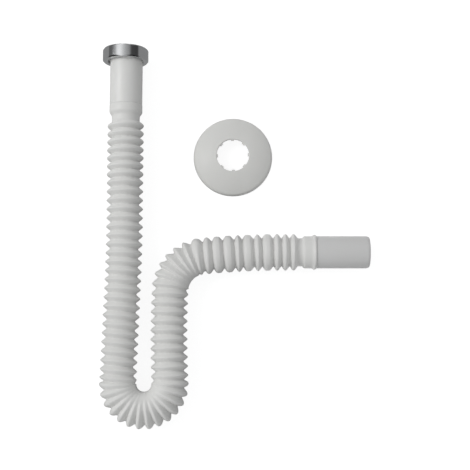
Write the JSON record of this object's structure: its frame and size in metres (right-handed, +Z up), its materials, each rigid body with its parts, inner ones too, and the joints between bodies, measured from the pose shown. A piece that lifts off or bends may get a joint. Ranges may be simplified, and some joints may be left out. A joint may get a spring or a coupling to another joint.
{
  "type": "extendable flexible waste pipe",
  "caption": "Corrugated plastic waste pipe lying in a long U, with chromed union nut, smooth spigot and separate wall rosette.",
  "frame": {"origin": "middle of the bounding box on the floor that the pipe lies on", "axes": "+Z up from the floor, +Y along the long leg towards the union nut, +X along the outlet towards the spigot's end"},
  "size_m": [0.2718, 0.3858, 0.0446],
  "materials": {
    "hose_plastic": "blown polypropylene, off-white, soft satin",
    "cuff_plastic": "moulded polypropylene, off-white, smooth satin",
    "spigot_plastic": "moulded polypropylene, pale grey, smooth satin",
    "cover_plastic": "moulded plastic, off-white, smooth",
    "chrome": "polished chrome plating on brass",
    "grey_rubber": "moulded rubber, dark grey"
  },
  "bodies": {
    "hose": {"bellows_hose": "hose_plastic", "wall_rosette": "cover_plastic"},
    "inlet_end": {"inlet_tailpiece": "cuff_plastic", "sealing_washer": "grey_rubber"},
    "nut": {"union_nut": "chrome"},
    "outlet_end": {"outlet_spigot": "spigot_plastic"}
  },
  "joints": [
    {"name": "inlet_extend", "type": "slide", "parent": "hose", "child": "inlet_end", "axis": [0, 1, 0], "range_m": [-0.12, 0.09], "deforming": ["bellows_hose"]},
    {"name": "outlet_extend", "type": "slide", "parent": "hose", "child": "outlet_end", "axis": [1, 0, 0], "range_m": [-0.04, 0.02], "deforming": ["bellows_hose"]},
    {"name": "nut_spin", "type": "hinge", "parent": "inlet_end", "child": "nut", "pos_m": [-0.11246, 0.18012, 0.0223], "axis": [0, 1, 0], "continuous": true}
  ]
}
